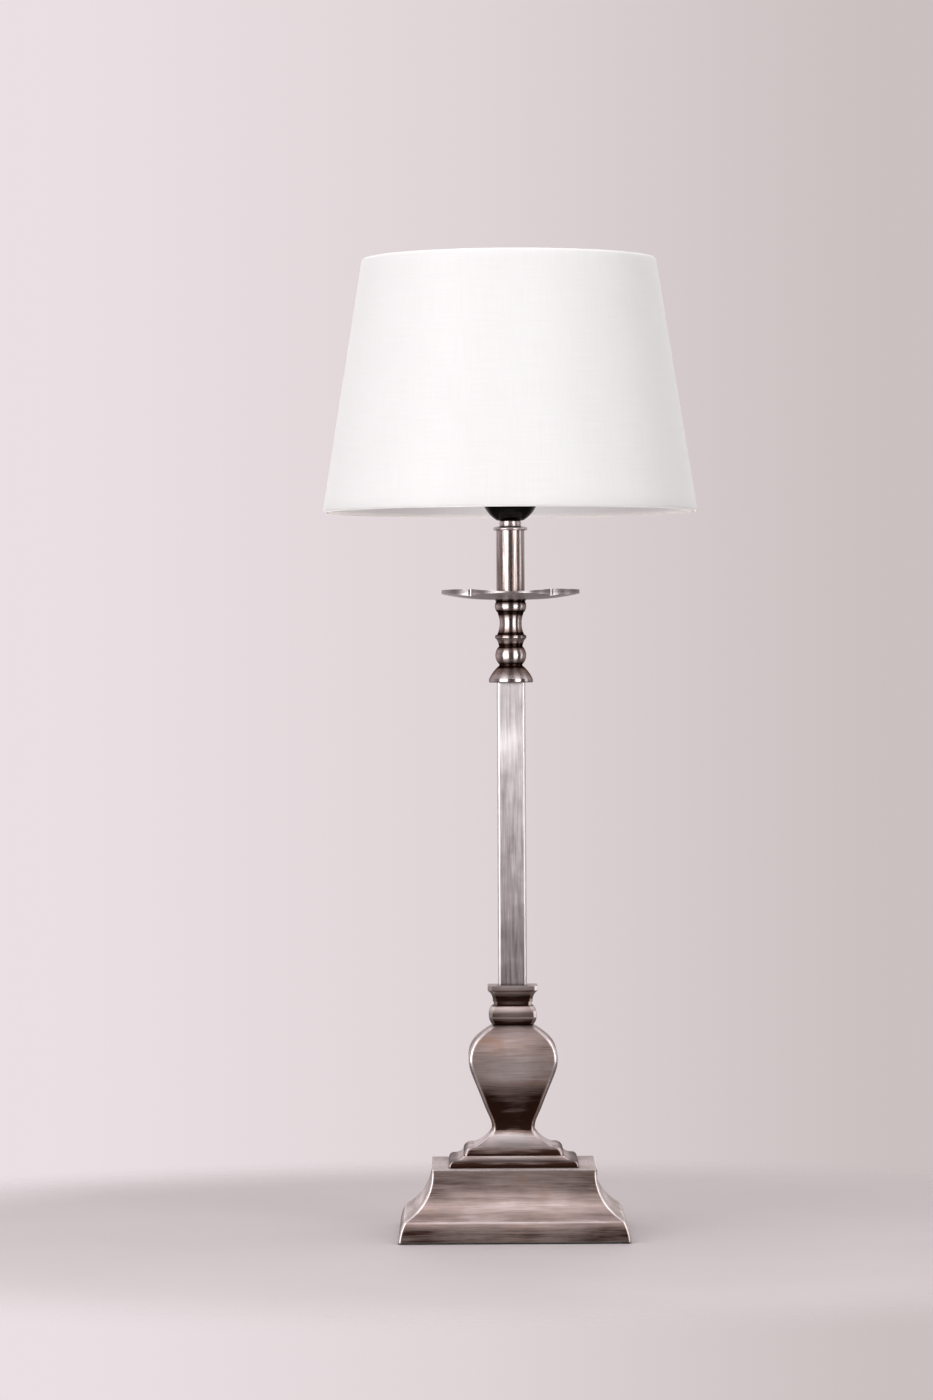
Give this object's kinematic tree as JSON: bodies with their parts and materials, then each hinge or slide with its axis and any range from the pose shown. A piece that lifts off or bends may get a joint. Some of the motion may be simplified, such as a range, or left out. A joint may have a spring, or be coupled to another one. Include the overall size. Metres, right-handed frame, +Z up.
{
  "type": "candlestick lamp",
  "caption": "Table lamp shaped as a candlestick: square cast foot and baluster, square column, lobed drip pan, candle sleeve, screw-ring lampholder and a tapered fabric shade.",
  "frame": {"origin": "on the resting plane, under the column's axis", "axes": "+Z up along the column, front face of the square foot towards -Y"},
  "size_m": [0.25, 0.25, 0.6497],
  "materials": {
    "green_felt": "dark felt",
    "painted_plate": "black paint",
    "zinc_steel": "zinc plated",
    "cast_nickel": "antique brushed nickel",
    "tube_nickel": "antique brushed nickel, brushed lengthwise",
    "turned_nickel": "antique nickel, turned",
    "pan_nickel": "antique nickel, spun",
    "sleeve_nickel": "antique nickel, polished lengthwise",
    "bright_nickel": "bright nickel",
    "black_nylon": "matt black",
    "iron": "as cast",
    "black_bakelite": "glossy black",
    "brass": "plain",
    "ceramic": "white porcelain",
    "shell_metal": "nickel plated",
    "solder": "solder",
    "black_glass": "black vitreous",
    "cap_metal": "satin",
    "frosted_glass": "frosted white",
    "shade_fabric": "off-white linen weave",
    "shade_lining": "white styrene film",
    "white_wire": "white epoxy"
  },
  "bodies": {
    "stand": {"felt_pad": "green_felt", "base_plate": "painted_plate", "base_screws": "zinc_steel", "plinth_shell": "cast_nickel", "inlet_bush": "black_nylon", "ballast_block": "iron", "rod_nut": "zinc_steel", "rod_washer": "zinc_steel", "threaded_rod": "zinc_steel", "lower_step": "cast_nickel", "baluster": "cast_nickel", "collar": "cast_nickel", "column_tube": "tube_nickel", "column_plugs": "zinc_steel", "knop": "turned_nickel", "drip_pan": "pan_nickel", "sleeve_seat": "zinc_steel", "candle_sleeve": "sleeve_nickel", "sleeve_cap": "turned_nickel", "neck_nut": "bright_nickel", "lampholder_dome": "black_bakelite", "entry_bush": "brass", "ceramic_core": "ceramic", "terminal_screws": "brass", "centre_contact": "brass", "side_contact": "brass", "screw_shell": "shell_metal", "lampholder_skirt": "black_bakelite"},
    "shade_ring": {"shade_ring": "black_bakelite"},
    "bulb_tip": {"bulb_contact": "solder"},
    "bulb": {"bulb_insulator": "black_glass", "bulb_cap": "cap_metal", "bulb_glass": "frosted_glass"},
    "shade": {"shade_cover": "shade_fabric", "shade_lining": "shade_lining", "top_wire_ring": "white_wire", "bottom_wire_ring": "white_wire", "shade_arms": "white_wire", "gallery_ring": "white_wire", "top_hem": "shade_fabric", "bottom_hem": "shade_fabric"}
  },
  "joints": [
    {"name": "shade_turn", "type": "hinge", "parent": "stand", "child": "shade", "pos_m": [0, 0, 0.503], "axis": [0, 0, 1], "continuous": true},
    {"name": "shade_ring_turn", "type": "hinge", "parent": "stand", "child": "shade_ring", "pos_m": [0, 0, 0.507], "axis": [0, 0, 1], "range_deg": [0, 2250]},
    {"name": "bulb_lift", "type": "slide", "parent": "stand", "child": "bulb_tip", "axis": [0, 0, 1], "range_m": [0, 0.0182]},
    {"name": "bulb_turn", "type": "hinge", "parent": "bulb_tip", "child": "bulb", "pos_m": [0, 0, 0.52], "axis": [0, 0, 1], "range_deg": [0, 1800]}
  ],
  "couplings": [
    {"joint": "bulb_lift", "follows": "bulb_turn", "m_per_rad": 0.0005775}
  ]
}
